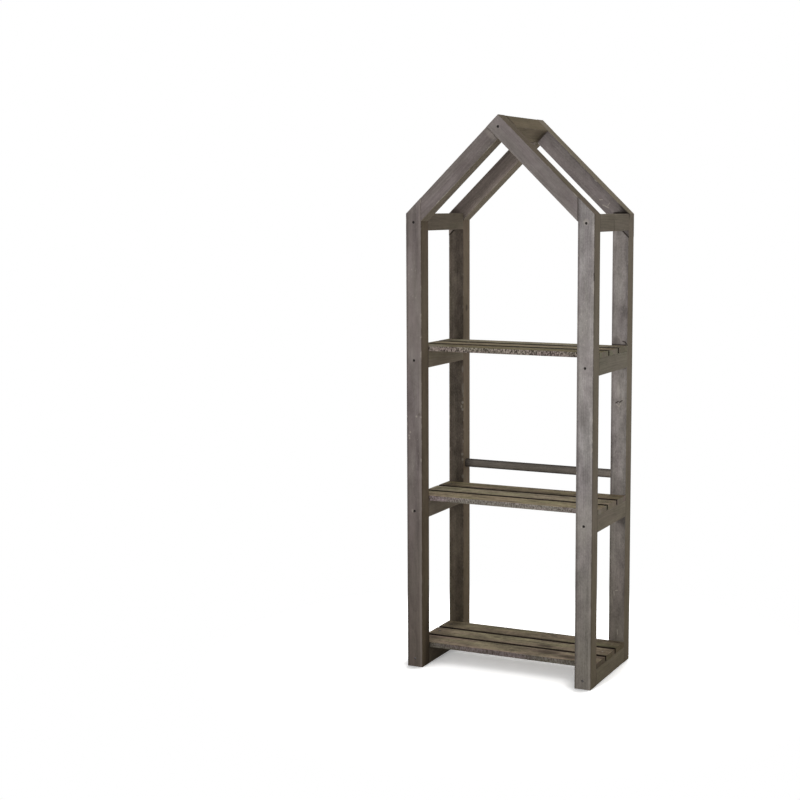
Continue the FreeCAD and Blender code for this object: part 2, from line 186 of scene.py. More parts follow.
class Graph:
    """Short ways to lay out shader nodes."""

    def __init__(self, tree):
        self.tree = tree
        tree.nodes.clear()

    def add(self, kind, **settings):
        """Adds a node and gives it its settings."""
        node = self.tree.nodes.new(kind)
        for name, value in settings.items():
            setattr(node, name, value)
        return node

    def feed(self, socket, value):
        """Links a socket to another, or sets it to a plain value."""
        if isinstance(value, bpy.types.NodeSocket):
            self.tree.links.new(value, socket)
        else:
            socket.default_value = value

    def math(self, operation, *values):
        """Works on plain values."""
        node = self.add("ShaderNodeMath", operation=operation)
        for socket, value in zip(node.inputs, values):
            self.feed(socket, value)
        return node.outputs[0]

    def total(self, first, *rest):
        """Adds several values."""
        for value in rest:
            first = self.math("ADD", first, value)
        return first

    def product(self, first, *rest):
        """Multiplies several values."""
        for value in rest:
            first = self.math("MULTIPLY", first, value)
        return first

    def swing(self, value, reach):
        """Turns a value from 0 to 1 into one from minus to plus a reach."""
        away = self.math("SUBTRACT", value, MIDDLE)
        return self.math("MULTIPLY", away, self.math("MULTIPLY", reach, 2.0))

    def vector(self, operation, *values):
        """Works on vectors."""
        node = self.add("ShaderNodeVectorMath", operation=operation)
        for socket, value in zip(node.inputs, values):
            self.feed(socket, value)
        return node.outputs["Value" if operation in {"LENGTH", "DOT_PRODUCT"} else "Vector"]

    def split(self, vector):
        """Takes a vector apart."""
        node = self.add("ShaderNodeSeparateXYZ")
        self.feed(node.inputs[0], vector)
        return node.outputs

    def span(self, value, low, high, to_low=0.0, to_high=1.0, smooth=True):
        """Maps a range of values to another and holds it there."""
        kind = "SMOOTHSTEP" if smooth else "LINEAR"
        node = self.add("ShaderNodeMapRange", interpolation_type=kind)
        for socket, given in zip(node.inputs, (value, low, high, to_low, to_high)):
            self.feed(socket, given)
        return node.outputs[0]

    def noise(self, vector, scale, detail, rough):
        """Noise from about 0 to 1; scale is how often it changes along each axis of the vector."""
        stretched = self.vector("MULTIPLY", vector, scale)
        node = self.add("ShaderNodeTexNoise", noise_dimensions="3D")
        self.feed(node.inputs["Vector"], stretched)
        for name, value in (("Scale", 1.0), ("Detail", detail), ("Roughness", rough)):
            node.inputs[name].default_value = value
        return node.outputs

    def mix(self, factor, first, second, blend="MIX"):
        """Mixes two colours."""
        node = self.add("ShaderNodeMix", data_type="RGBA", blend_type=blend)
        for index, value in zip(MIX_INPUTS, (factor, first, second)):
            if isinstance(value, tuple):
                value = (*value[:3], 1.0)
            self.feed(node.inputs[index], value)
        return node.outputs[MIX_OUTPUT]

    def spread(self, value):
        """Puts one value in all three parts of a vector."""
        node = self.add("ShaderNodeCombineXYZ")
        for socket in node.inputs:
            self.feed(socket, value)
        return node.outputs[0]

    def blend(self, factor, first, second):
        """Mixes two shaders."""
        node = self.add("ShaderNodeMixShader")
        for socket, value in zip(node.inputs, (factor, first, second)):
            self.feed(socket, value)
        return node.outputs[0]

    def grey(self, value):
        """Makes a grey colour of a value."""
        node = self.add("ShaderNodeCombineColor")
        for socket in node.inputs[:3]:
            self.feed(socket, value)
        return node.outputs[0]


def plain(colour):
    """Copies a colour setting into a tuple."""
    return tuple(colour[:3])


def shaded(colour, tone):
    """Makes a colour lighter or darker, by one factor or by one for each part of it."""
    tones = tone if isinstance(tone, tuple) else (tone,) * 3
    return tuple(part * share for part, share in zip(colour[:3], tones))


def piece_frame(node, run):
    """Turn and middle that carry a node's place into its own axes: along it, then two across."""
    low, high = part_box(node)
    middle = (low + high) / 2
    if run == "up":
        return Euler((0, math.pi / 2, 0)), middle
    if run == "across":
        return Euler((0, 0, 0)), middle
    if run == "deep":
        return Euler((0, 0, -math.pi / 2)), middle
    if run == "ridge":
        offset = Vector((math.cos(PITCH) - math.sin(PITCH), 0, -math.cos(PITCH) - math.sin(PITCH)))
        return Euler((0, -PITCH, -math.pi / 2)), Vector((0, middle.y, APEX)) + BATTEN / 2 * offset
    turn = PITCH if "left" in node else -PITCH
    return Euler((0, turn, 0)), Vector((0, middle.y, APEX - RAFTER_DROP / 2))


# Patterns in the timber: changes per millimetre along and across a piece, detail and roughness
PATTERNS = {
    "drift": (0.0032, 0.016, 2.0, 0.55),
    "fibre": (0.011, 0.5, 4.0, 0.62),
    "pores": (0.05, 1.6, 2.0, 0.55),
    "streak": (0.0045, 0.06, 3.0, 0.55),
    "mottle": (0.022, 0.042, 4.0, 0.6),
    "speckle": (0.2, 0.32, 3.0, 0.7),
    "band": (0.012, 0.16, 5.0, 0.7),
    "patch": (0.009, 0.03, 2.0, 0.55),
    "hue": (0.008, 0.05, 3.0, 0.55),
    "frayed": (0.05, 0.14, 4.0, 0.7),
    "torn": (0.42, 0.2, 3.0, 0.7),
    "cloud": (0.09, 0.07, 3.0, 0.6),
}

# Where each effect starts and where it is full. The last six are in millimetres.
LIMITS = {
    "to_front": (0.55, 0.85),
    "to_end": (0.55, 0.85),
    "to_top": (0.6, 0.9),
    "to_sky": (0.35, 0.6),
    "late": (0.25, 0.9),
    "ring_end": (1.0, 0.93),
    "pores": (0.58, 0.72),
    "patch": (0.42, 0.62),
    "hue": (0.35, 0.65),
    "fleck": (0.60, 0.72),
    "bloom_and_painted_sheen": (0.40, 0.70),
    "frayed": (0.5, 0.7),
    "broken_seam": (0.35, 0.6),
    "gap_shade_reach": (0.3, 0.7),
    "rod_lit_band": (0.3, 0.95),
    "high": (180.0, 600.0),
    # Painted shade at the foot fades out over these heights
    "foot": (0.0, 620.0),
    "seam": (2.4, 0.8),
    "wear": (0.6, -0.9),
    "gap_shade": (0.7, -0.7),
    "slat_face": (-5.0, -1.0),
}

# In millimetres: how far a piece's grain is shifted at most, how far away its pith is at least and at
# most, and how far its rings drift
GRAIN_SHIFT = 4000
PITH_AWAY = (24, 46)
RING_DRIFT = 30.0

# Rims and cores of spots and lines, in shares of their reach. A knot bends the rings out to the first.
SWELL_RIM = 3.0
KNOT_RIM = 1.3
MARK_RIM = 1.4
SPOT_CORE = 0.45
LINE_CORE = 0.3

# How far a line on the front of a piece follows the rounded edge, in millimetres
EDGE_SHARE = 2.2

# How strong knots, wear, pores and streaks are, and the least of a seam where it is broken, of wear at
# the foot and of mottling on the sides
KNOT_STRENGTH = 0.8
WEAR_STRENGTH = 0.6
PORE_DEPTH = 0.10
STREAK_SHARE = 0.6
SEAM_LEAST = 0.7
FOOT_WEAR = 0.35
SIDE_MOTTLE = 0.55

# How far the stain's hue drifts either way
ROSY_TINT = (1.06, 0.985, 1.08)
MOSSY_TINT = (0.94, 1.015, 0.92)

# How much fibres, late wood, speckle and pores raise the grain
GRAIN_RISE = (0.5, 0.2, 0.4, -0.3)


class Wood:
    """The fields that one wooden piece's finish is mixed from.

    The piece runs up, across, deep, along the ridge or down a slope. Half is half its width across and
    deep, in millimetres.
    """

    def __init__(self, graph, node, run, half, look, finish):
        self.graph = graph
        self.half = half
        self.look = look
        self.finish = finish
        self.chance = random.Random(node)
        self.find_place(node, run)
        self.find_facing()
        self.grow()
        self.stain()

    def find_place(self, node, run):
        """Millimetres in the unit, and along and across the piece."""
        graph = self.graph
        coordinates = graph.add("ShaderNodeTexCoord").outputs["Object"]
        self.place = graph.vector("MULTIPLY", coordinates, (MM_PER_M,) * 3)
        turn, middle = piece_frame(node, run)
        mapping = graph.add("ShaderNodeMapping", vector_type="POINT")
        mapping.inputs["Scale"].default_value = (MM_PER_M,) * 3
        mapping.inputs["Rotation"].default_value = turn
        mapping.inputs["Location"].default_value = -MM_PER_M * (turn.to_matrix() @ middle)
        graph.feed(mapping.inputs["Vector"], coordinates)
        self.local = mapping.outputs["Vector"]
        shift = tuple(self.chance.uniform(-GRAIN_SHIFT, GRAIN_SHIFT) for _ in range(3))
        self.grain = graph.vector("ADD", self.local, shift)
        self.height = graph.split(self.place)["Z"]

    def find_facing(self):
        """Which way the surface looks, and how far it is from the long edges."""
        graph = self.graph
        self.normal = graph.add("ShaderNodeNewGeometry").outputs["Normal"]
        normal = graph.split(self.normal)
        self.to_front = graph.span(graph.math("ABSOLUTE", normal["Y"]), *LIMITS["to_front"])
        self.to_top = graph.span(normal["Z"], *LIMITS["to_top"])
        self.to_sky = graph.span(normal["Z"], *LIMITS["to_sky"])
        self.to_end = graph.span(graph.math("ABSOLUTE", normal["X"]), *LIMITS["to_end"])
        self.along, self.across, self.deep = graph.split(self.local)
        self.inset_across = graph.math("SUBTRACT", self.half[0], graph.math("ABSOLUTE", self.across))
        inset_deep = graph.math("SUBTRACT", self.half[1], graph.math("ABSOLUTE", self.deep))
        self.inset = graph.math("MAXIMUM", self.inset_across, inset_deep)

    def pattern(self, name):
        """One of the timber's patterns, laid in this piece's grain."""
        along, across, detail, rough = PATTERNS[name]
        return self.graph.noise(self.grain, (along, across, across), detail, rough)

    def spots(self, places, rim):
        """Soft spots, each with its middle, its reach along and across the piece and its strength."""
        graph = self.graph
        field = 0.0
        for along, across, deep, length, width, strength in places:
            away = graph.vector("SUBTRACT", self.local, (along, across, deep))
            scaled = graph.vector("MULTIPLY", away, (1 / length, 1 / width, 1 / width))
            spot = graph.span(graph.vector("LENGTH", scaled), rim, SPOT_CORE, 0.0, strength)
            field = graph.math("MAXIMUM", field, spot)
        return field

    def lines(self, marks):
        """Thin lines on the front, each from one place along and deep in the piece to another."""
        graph = self.graph
        field = 0.0
        for start, end, width, strength in marks:
            run = Vector((end[0] - start[0], 0.0, end[1] - start[1]))
            away = graph.vector("SUBTRACT", self.local, (start[0], 0.0, start[1]))
            away = graph.vector("MULTIPLY", away, (1.0, 0.0, 1.0))
            passed = graph.vector("DOT_PRODUCT", away, tuple(run))
            share = graph.span(passed, 0.0, run.length_squared, smooth=False)
            nearest = graph.vector("MULTIPLY", graph.spread(share), tuple(run))
            distance = graph.vector("LENGTH", graph.vector("SUBTRACT", away, nearest))
            line = graph.span(distance, width, LINE_CORE * width, 0.0, strength)
            field = graph.math("MAXIMUM", field, line)
        in_front = graph.math("LESS_THAN", self.across, EDGE_SHARE - self.half[0])
        return graph.math("MULTIPLY", field, in_front)

    def grow(self):
        """Year rings round a pith, bent by slow drift and by the knots."""
        graph = self.graph
        drift = graph.vector("SUBTRACT", self.pattern("drift")["Color"], (MIDDLE,) * 3)
        drift = graph.vector("MULTIPLY", drift, (0.0, RING_DRIFT, RING_DRIFT))
        turn = self.chance.uniform(0, 2 * math.pi)
        away = self.chance.uniform(*PITH_AWAY)
        pith = (0.0, away * math.cos(turn), away * math.sin(turn))
        radial = graph.vector("MULTIPLY", graph.vector("SUBTRACT", self.local, pith), (0.0, 1.0, 1.0))
        distance = graph.vector("LENGTH", graph.vector("ADD", radial, drift))
        swell = self.spots([(*knot[:5], knot[4]) for knot in self.look["knots"]], SWELL_RIM)
        distance = graph.math("ADD", distance, swell)
        phase = graph.math("FRACT", graph.math("DIVIDE", distance, self.finish.ring_width * MM_PER_M))
        grown = graph.span(phase, *LIMITS["late"])
        self.late = graph.math("MULTIPLY", grown, graph.span(phase, *LIMITS["ring_end"]))
        self.heart = self.spots(self.look["knots"], KNOT_RIM)
        self.fibre = self.pattern("fibre")["Fac"]
        self.pores = graph.span(self.pattern("pores")["Fac"], *LIMITS["pores"])

    def stain(self):
        """Uneven stain: long streaks, mottling, speckle and pale flecks."""
        graph = self.graph
        self.streak = self.pattern("streak")["Fac"]
        self.mottle = self.pattern("mottle")["Fac"]
        self.speckle = self.pattern("speckle")["Fac"]
        self.band = self.pattern("band")["Fac"]
        patch = graph.span(self.pattern("patch")["Fac"], *LIMITS["patch"])
        self.hue = graph.span(self.pattern("hue")["Fac"], *LIMITS["hue"])
        self.high = graph.span(self.height, *LIMITS["high"])
        self.fleck = graph.product(graph.span(self.speckle, *LIMITS["fleck"]), patch, self.high)

    def depth(self):
        """How light or dark the stain is."""
        graph, finish, look = self.graph, self.finish, self.look
        flat = graph.span(self.to_top, 0.0, 1.0, SIDE_MOTTLE, look["flat"], False)
        evenness = graph.span(self.to_front, 0.0, 1.0, flat, look["mottle"], False)
        uneven = graph.math("MULTIPLY", evenness, finish.blotch_depth)
        top_streaks = finish.top_depth * look["streaky"]
        return graph.total(
            1.0,
            graph.math("MULTIPLY", self.late, -finish.ring_depth),
            graph.math("MULTIPLY", self.pores, -PORE_DEPTH),
            graph.swing(self.fibre, finish.fibre_depth),
            graph.swing(self.streak, finish.blotch_depth * STREAK_SHARE),
            graph.swing(self.mottle, uneven),
            graph.swing(self.speckle, graph.math("MULTIPLY", evenness, finish.speckle_depth)),
            graph.swing(self.band, graph.math("MULTIPLY", self.to_top, top_streaks)),
        )

    def seams(self):
        """Dark lines at joints, each given as a point in the frame's plane and the line's slope."""
        graph = self.graph
        field = 0.0
        for (x, z), angle, strength in self.look["seams"]:
            away = graph.vector("SUBTRACT", self.place, (x * MM_PER_M, 0.0, z * MM_PER_M))
            distance = graph.vector("DOT_PRODUCT", away, (-math.sin(angle), 0.0, math.cos(angle)))
            line = graph.span(graph.math("ABSOLUTE", distance), *LIMITS["seam"], 0.0, strength)
            field = graph.math("MAXIMUM", field, line)
        broken = graph.span(self.mottle, *LIMITS["broken_seam"], SEAM_LEAST, 1.0)
        return graph.product(field, broken, graph.math("LESS_THAN", self.inset_across, EDGE_SHARE))

    def wear(self):
        """Ragged wear along the long edges."""
        graph = self.graph
        frayed = graph.span(self.pattern("frayed")["Fac"], *LIMITS["frayed"])
        reach = graph.math("MULTIPLY", frayed, self.finish.wear_width * MM_PER_M)
        edge = graph.span(graph.math("SUBTRACT", self.inset, reach), *LIMITS["wear"])
        return graph.product(edge, self.look["wear"], graph.span(self.high, 0.0, 1.0, FOOT_WEAR, 1.0))

    def finished(self, base):
        """Colour of the piece from its base stain, with painted sheen, painted foot shade, knots, marks,
        seams and wear.
        """
        graph, finish, look = self.graph, self.finish, self.look
        # A pale cool cast on faces that look to the front or rear, higher up: partly bloom, partly
        # painted sheen
        thin = graph.span(self.mottle, *LIMITS["bloom_and_painted_sheen"])
        bloom_and_painted_sheen = graph.product(thin, self.to_front, self.high, look["bloom_and_painted_sheen"])
        colour = graph.mix(bloom_and_painted_sheen, base, plain(finish.bloom_and_painted_sheen))
        colour = graph.mix(1.0, colour, graph.grey(self.depth()), "MULTIPLY")
        drift = look["drift"] / 2
        turn = graph.span(self.hue, 0.0, 1.0, MIDDLE - drift, MIDDLE + drift, False)
        colour = graph.mix(1.0, colour, graph.mix(turn, ROSY_TINT, MOSSY_TINT), "MULTIPLY")
        # Painted shade: darker and browner towards the foot, where the light falls off towards the floor
        raised = graph.span(self.height, *LIMITS["foot"])
        foot = graph.mix(raised, plain(finish.painted_foot_shade), (1.0, 1.0, 1.0))
        colour = graph.mix(1.0, colour, foot, "MULTIPLY")
        fleck = graph.product(self.fleck, look["fleck"], self.to_front)
        colour = graph.mix(fleck, colour, plain(finish.worn_and_painted_light))
        heart = graph.math("MULTIPLY", self.heart, KNOT_STRENGTH)
        colour = graph.mix(heart, colour, plain(finish.knot))
        colour = graph.mix(self.spots(look["stains_and_painted_shadows"], MARK_RIM), colour, plain(finish.seam))
        colour = graph.mix(self.spots(look["scuffs_and_painted_light"], MARK_RIM), colour, plain(finish.worn_and_painted_light))
        if look["scratches"]:
            colour = graph.mix(self.lines(look["scratches"]), colour, plain(finish.worn_and_painted_light))
        if look["cuts"]:
            colour = graph.mix(self.lines(look["cuts"]), colour, plain(finish.seam))
        wear = graph.math("MULTIPLY", self.wear(), WEAR_STRENGTH)
        colour = graph.mix(wear, colour, plain(finish.worn_and_painted_light))
        return graph.mix(self.seams(), colour, plain(finish.seam))

    def rise(self):
        """Raised grain."""
        graph = self.graph
        fields = (self.fibre, self.late, self.speckle, self.pores)
        return graph.total(*(graph.math("MULTIPLY", *pair) for pair in zip(fields, GRAIN_RISE)))


def batten_coat(wood):
    """Grey on faces that look to the front, olive on the others."""
    graph, finish, look = wood.graph, wood.finish, wood.look
    # Partly painted light: faces that look up, sideways and to the front get their own tones as light
    # falls on them, and the cooler grey of the fronts stands in for cooler light there
    upper = shaded(finish.side_olive, look.get("upper", look["side"]))
    side = graph.mix(wood.to_sky, shaded(finish.side_olive, look["side"]), upper)
    base = graph.mix(wood.to_front, side, shaded(finish.front_grey, look["front"]))
    return wood.finished(base), wood.rise()


# Rough-sawn edges: tint and depth of the torn hollows, tint and lift of the fibres between them, how
# softly one turns into the other, and how far they are raised
HOLLOW_TINT, HOLLOW_DEPTH = (1.06, 1.0, 0.88), 0.7
FIBRE_TINT, FIBRE_LIFT = (0.98, 1.0, 1.05), 0.45
SAWN_SOFTNESS = 0.11
SAWN_RISE = 1.4

# Slat tops: how dappled they are
DAPPLE_DEPTH = 0.5

# Painted shade along the gaps between slats, on the tops beside them and down their walls: the least and
# the most of its reach, its strength, and its share low down
GAP_SHADE_SPREAD = (0.75, 1.25)
GAP_SHADE_STRENGTH = 0.92
GAP_SHADE_LOW = 0.45


def slat_coat(wood):
    """Olive tops, rough-sawn outer edges, and painted shade along the gaps."""
    graph, finish, look = wood.graph, wood.finish, wood.look
    softness = SAWN_SOFTNESS / look["rough"]
    torn = graph.span(wood.pattern("torn")["Fac"], MIDDLE - softness, MIDDLE + softness)
    edge = shaded(finish.sawn_grey, look["front"])
    hollow = shaded(shaded(edge, HOLLOW_TINT), 1 - HOLLOW_DEPTH * look["rough"])
    fibre = shaded(shaded(edge, FIBRE_TINT), 1 + FIBRE_LIFT * look["rough"])
    sawn = graph.mix(torn, hollow, fibre)
    cloud = graph.swing(wood.pattern("cloud")["Fac"], DAPPLE_DEPTH)
    dappled = graph.grey(graph.math("ADD", 1.0, cloud))
    top = graph.mix(1.0, shaded(finish.slat_olive, look["top"]), dappled, "MULTIPLY")
    flat = graph.mix(wood.to_top, shaded(finish.side_olive, look["side"]), top)
    colour = wood.finished(graph.mix(wood.to_front, flat, sawn))
    rearward = graph.math("GREATER_THAN", wood.across, 0.0)
    beside = graph.span(rearward, 0.0, 1.0, *look["gaps"], False)
    width = finish.gap_shade_width * MM_PER_M * look["gap_shade"]
    nearest, furthest = (share * width for share in GAP_SHADE_SPREAD)
    reach = graph.span(wood.mottle, *LIMITS["gap_shade_reach"], nearest, furthest)
    gap_shade = graph.span(graph.math("SUBTRACT", wood.inset_across, reach), *LIMITS["gap_shade"])
    sunk = graph.span(wood.deep, *LIMITS["slat_face"], GAP_SHADE_LOW, 1.0)
    clear = graph.math("SUBTRACT", GAP_SHADE_STRENGTH, graph.math("MULTIPLY", wood.to_end, GAP_SHADE_STRENGTH))
    colour = graph.mix(graph.product(gap_shade, beside, sunk, clear), colour, plain(finish.seam))
    rise = graph.total(wood.rise(), graph.product(wood.speckle, wood.to_front, SAWN_RISE))
    return colour, rise


# The rod: which way its lit bands look, the tone of the painted shade on its top and underside between
# them, from where to where it grows ever paler towards one end, in millimetres along it, and how much
# paler it is there
ROD_LIT_FACE = (0.0, -0.985, 0.174)
ROD_PAINTED_SHADE = 0.38
ROD_PALE_END = (60.0, 180.0)
ROD_PALE = 1.7


def rod_coat(wood):
    """Dark stain, with painted shade on its top and underside, and paler towards one end."""
    graph, finish = wood.graph, wood.finish
    band = graph.math("ABSOLUTE", graph.vector("DOT_PRODUCT", wood.normal, ROD_LIT_FACE))
    band = graph.span(band, *LIMITS["rod_lit_band"])
    base = graph.mix(band, shaded(finish.rod_brown, ROD_PAINTED_SHADE), plain(finish.rod_brown))
    worn_and_painted_light = graph.span(wood.along, *ROD_PALE_END, 1.0, ROD_PALE)
    return wood.finished(graph.mix(1.0, base, graph.grey(worn_and_painted_light), "MULTIPLY")), wood.rise()


# Darkest and lightest tone of the unstained dowels
DOWEL_TONES = (0.85, 1.1)


def dowel_coat(wood):
    """Plain unstained wood."""
    dark, light = (shaded(wood.finish.dowel, tone) for tone in DOWEL_TONES)
    return wood.finished(wood.graph.mix(wood.streak, dark, light)), wood.rise()


def new_material(name):
    """Makes a material and the graph of its nodes."""
    material = bpy.data.materials.new(name)
    material.use_nodes = True
    return material, Graph(material.node_tree)


def surface(graph, sockets, rise, strength, distance):
    """Ends a material with its surface, raised by a bump."""
    shader = graph.add("ShaderNodeBsdfPrincipled")
    for name, value in sockets.items():
        graph.feed(shader.inputs[name], value)
    bump = graph.add("ShaderNodeBump")
    bump.inputs["Strength"].default_value = strength
    bump.inputs["Distance"].default_value = distance
    graph.feed(bump.inputs["Height"], rise)
    graph.feed(shader.inputs["Normal"], bump.outputs["Normal"])
    output = graph.add("ShaderNodeOutputMaterial")
    graph.feed(output.inputs["Surface"], shader.outputs[0])


# Stained timber: how matt it is at least, and with its fibres and speckle, its sheen and its bump
LEAST_MATT, FIBRE_MATT, SPECKLE_MATT = 0.70, 0.18, 0.14
TIMBER_SHEEN = 0.08
TIMBER_BUMP = 0.6


def timber(node, run, half, look, coat, finish):
    """Solid wood under one of the coats."""
    material, graph = new_material(f"{node}_stain")
    wood = Wood(graph, node, run, half, look, finish)
    colour, rise = coat(wood)
    matt = graph.total(
        LEAST_MATT,
        graph.math("MULTIPLY", wood.fibre, FIBRE_MATT),
        graph.math("MULTIPLY", wood.speckle, SPECKLE_MATT),
    )
    sockets = {"Base Color": colour, "Roughness": matt, "Specular IOR Level": TIMBER_SHEEN}
    surface(graph, sockets, rise, TIMBER_BUMP, finish.relief)
    return material


# Steel patterns: changes per metre, detail and roughness
SCRATCHES = ((1800.0,) * 3, 3.0, 0.7)
TARNISH = ((420.0,) * 3, 3.0, 0.55)

# Where tarnish darkens the steel and by how much, where stain holds on it, where scratches show and how
# matt it is without and with them, and their bump and depth, in metres
TARNISHED, TARNISH_TONE = (0.35, 0.65), 0.5
STAIN_HOLD = (0.3, 0.5)
SCRATCHED = (0.3, 0.7)
STEEL_MATT = (0.38, 0.62)
SCRATCH_BUMP, SCRATCH_DEPTH = 0.3, 0.0001


def steel(name, colour, over, axis, bare, covered):
    """Dull dark steel, with stain run over it from one place along an axis to another."""
    material, graph = new_material(name)
    coordinates = graph.add("ShaderNodeTexCoord").outputs["Object"]
    scratched = graph.noise(coordinates, *SCRATCHES)["Fac"]
    tarnish = graph.noise(coordinates, *TARNISH)["Fac"]
    shade = graph.mix(graph.span(tarnish, *TARNISHED), shaded(colour, TARNISH_TONE), colour)
    near = graph.span(graph.split(coordinates)[axis], bare, covered)
    cover = graph.math("MULTIPLY", near, graph.span(tarnish, *STAIN_HOLD))
    shade = graph.mix(cover, shade, over)
    metal = graph.math("SUBTRACT", 1.0, cover)
    matt = graph.span(scratched, *SCRATCHED, *STEEL_MATT)
    sockets = {"Base Color": shade, "Metallic": metal, "Roughness": matt}
    surface(graph, sockets, scratched, SCRATCH_BUMP, SCRATCH_DEPTH)
    return material


def coat_node(node, material):
    """Gives a CAD node its material."""
    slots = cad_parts[node].material_slots
    if not slots:
        raise RuntimeError(f"{node} has no material slot")
    for slot in slots:
        slot.material = material


# A piece's look: tones by the way a face looks, how strong each pattern is, and its marks. The tones
# carry the stain's own tone and also painted light and shade, which make faces lighter or darker as
# light falls on them
PLAIN_LOOK = {
    "front": 1.0,
    "side": 1.0,
    "mottle": 1.0,
    "flat": 0.55,
    "streaky": 0.3,
    "bloom_and_painted_sheen": 0.1,
    "fleck": 0.2,
    "wear": 0.5,
    "knots": (),
    "stains_and_painted_shadows": (),
    "scuffs_and_painted_light": (),
    "scratches": (),
    "cuts": (),
    "seams": (),
    "drift": 0.2,
}
# Round pieces, which aren't worn or flecked and have no long edges
SMOOTH_LOOK = {"wear": 0.0, "bloom_and_painted_sheen": 0.0, "fleck": 0.0}
NO_EDGES = (MM_PER_M, MM_PER_M)


def dress(node, run, half, look, coat, finish):
    """Dresses one wooden node."""
    coat_node(node, timber(node, run, half, {**PLAIN_LOOK, **look}, coat, finish))


# Marks on the pieces, in millimetres from a piece's middle; a batten's faces are 19 from it.
# Knots, stains and scuffs: place along, across and deep in the piece, reach along and across, strength.
# Scratches and cuts: start and end along and deep in the piece, width, strength.
# Some stains are painted shadows, some scuffs painted light and one cut a painted contact shadow, as
# noted.
POST_LOOKS = {
    "front_left_post": {
        "front": (0.68, 0.66, 0.655), "side": (0.88, 0.83, 0.78),
        "mottle": 0.6, "fleck": 0.3, "wear": 0.5,
        "knots": ((50, -19, -14, 4, 3, 0.7), (-230, 19, 5, 10, 7, 0.8)),
        # The stain at -540 along is a painted shadow on the post's inner side at its foot
        "stains_and_painted_shadows": (
            (0, -19, 19, 1100, 5.5, 0.35), (0, -16.5, -19, 1100, 2.6, 0.35), (330, -19, -2, 60, 9, 0.10),
            (-20, -19, -12, 40, 7, 0.12), (-540, 19, -19, 150, 26, 0.6),
        ),
        "scuffs_and_painted_light": (
            (0, -19, -15.5, 1100, 3, 0.1), (91, -19, -16, 60, 3, 0.15), (45, -19, -6, 2.5, 2.5, 0.35),
            (44, -19, -17, 2.5, 2.5, 0.3), (0, -19, 13, 2.5, 2, 0.3), (8, -19, 10, 2.5, 2, 0.3),
            (-6, -19, 12, 2.5, 2, 0.3), (-174, -19, 5, 4, 2, 0.3), (290, -19, 0, 110, 40, 0.08),
        ),
    },
    "front_right_post": {
        "front": (1.13, 1.19, 1.22), "side": 1.04, "upper": (0.895, 0.865, 0.86),
        "mottle": 1.2, "bloom_and_painted_sheen": 0.35, "fleck": 0.45, "wear": 0.6,
        "knots": ((260, 19, 6, 12, 8, 0.8),),
        "stains_and_painted_shadows": (
            (0, -19, 19, 1100, 5.5, 0.42), (0, -16.5, -19, 1100, 2.6, 0.35), (70, -19, 3, 34, 12, 0.22),
            (330, -19, 5, 40, 8, 0.12), (-60, -19, -4, 22, 9, 0.14),
        ),
        "scuffs_and_painted_light": (
            (487, -19, 0, 7, 7, 0.3), (0, -19, -15.5, 1100, 3, 0.1), (-174, -19, 5, 4, 2, 0.25),
            (210, -19, 0, 150, 40, 0.1), (-165, -19, 0, 60, 40, 0.12),
        ),
        "cuts": (((378, -19), (363, -19), 2.0, 0.6),),
    },
    "rear_left_post": {
        "front": (0.77, 0.73, 0.615), "side": (1.18, 1.10, 1.045),
        "mottle": 2.2, "bloom_and_painted_sheen": 0.0, "fleck": 0.2, "wear": 0.9,
        "knots": ((120, 19, 3, 11, 7, 0.8), (-330, 19, -6, 9, 6, 0.8), (304, 0, -19, 9, 6, 0.7)),
        # The first stain is a painted shadow down the left part of the front, where the front left post
        # shades it
        "stains_and_painted_shadows": ((0, -19, 19, 1500, 12, 0.4), (260, -19, 0, 80, 30, 0.2)),
        "scuffs_and_painted_light": (
            (77, -19, -17, 3.5, 3, 0.7), (67, -19, -14, 4, 2.5, 0.6), (60, -19, -17, 3.5, 3, 0.6),
            (-49, -19, -16, 3.5, 3, 0.5), (-62, -19, -17, 3.5, 3, 0.5), (158, -19, -17, 9, 2.5, 0.5),
            (109, -19, -17, 12, 2.5, 0.4), (-103, -19, -17, 5, 3, 0.4),
        ),
    },
    "rear_right_post": {
        "front": (1.18, 1.22, 1.22), "side": 1.11,
        "mottle": 1.5, "bloom_and_painted_sheen": 0.3, "fleck": 0.4, "wear": 0.5,
        "knots": ((-250, 19, 5, 12, 8, 0.8),),
        # The stain at -514 along is painted shade at the foot
        "stains_and_painted_shadows": (
            (0, -19, 19, 1100, 5.0, 0.35), (262, -19, 4, 26, 15, 0.22), (182, -19, -12, 7, 5, 0.5),
            (162, -19, -8, 8, 5, 0.25), (446, -19, 12, 14, 8, 0.2), (308, -19, -15, 14, 8, 0.2),
            (270, -19, 7, 10, 8, 0.2), (-514, -19, 0, 130, 30, 0.22), (240, -19, 10, 13, 14, 0.36),
        ),
        # The scuff at -190 along is painted light that lifts the shade under the middle bearer
        "scuffs_and_painted_light": (
            (126, -19, 2, 20, 4, 0.25), (174, -19, -16, 5, 3, 0.25), (102, -19, -7, 12, 10, 0.15),
            (161, -19, 0, 90, 40, 0.1), (440, -19, 0, 80, 40, 0.07), (-190, -19, 0, 55, 30, 0.1),
        ),
        "scratches": (
            ((94, 5), (88, -1), 1.8, 0.45), ((88, -1), (96, -4), 1.8, 0.45),
            ((-344, 3), (-343, -2), 1.6, 0.35), ((-347, 7), (-355, 6), 1.6, 0.35),
            ((-437, -2), (-448, -3), 1.6, 0.3), ((255, 6), (244, -3), 1.8, 0.2),
        ),
        # The last cut is a painted contact shadow where the post meets the upper shelf
        "cuts": (
            ((97, 7), (101, 1), 1.9, 0.85), ((99, -2), (103, -8), 1.9, 0.85),
            ((240, -8), (238, -14), 2.1, 0.75), ((238, -14), (232, -18), 2.4, 0.8),
            ((231, 18), (231, -19), 3.0, 0.75),
        ),
    },
}
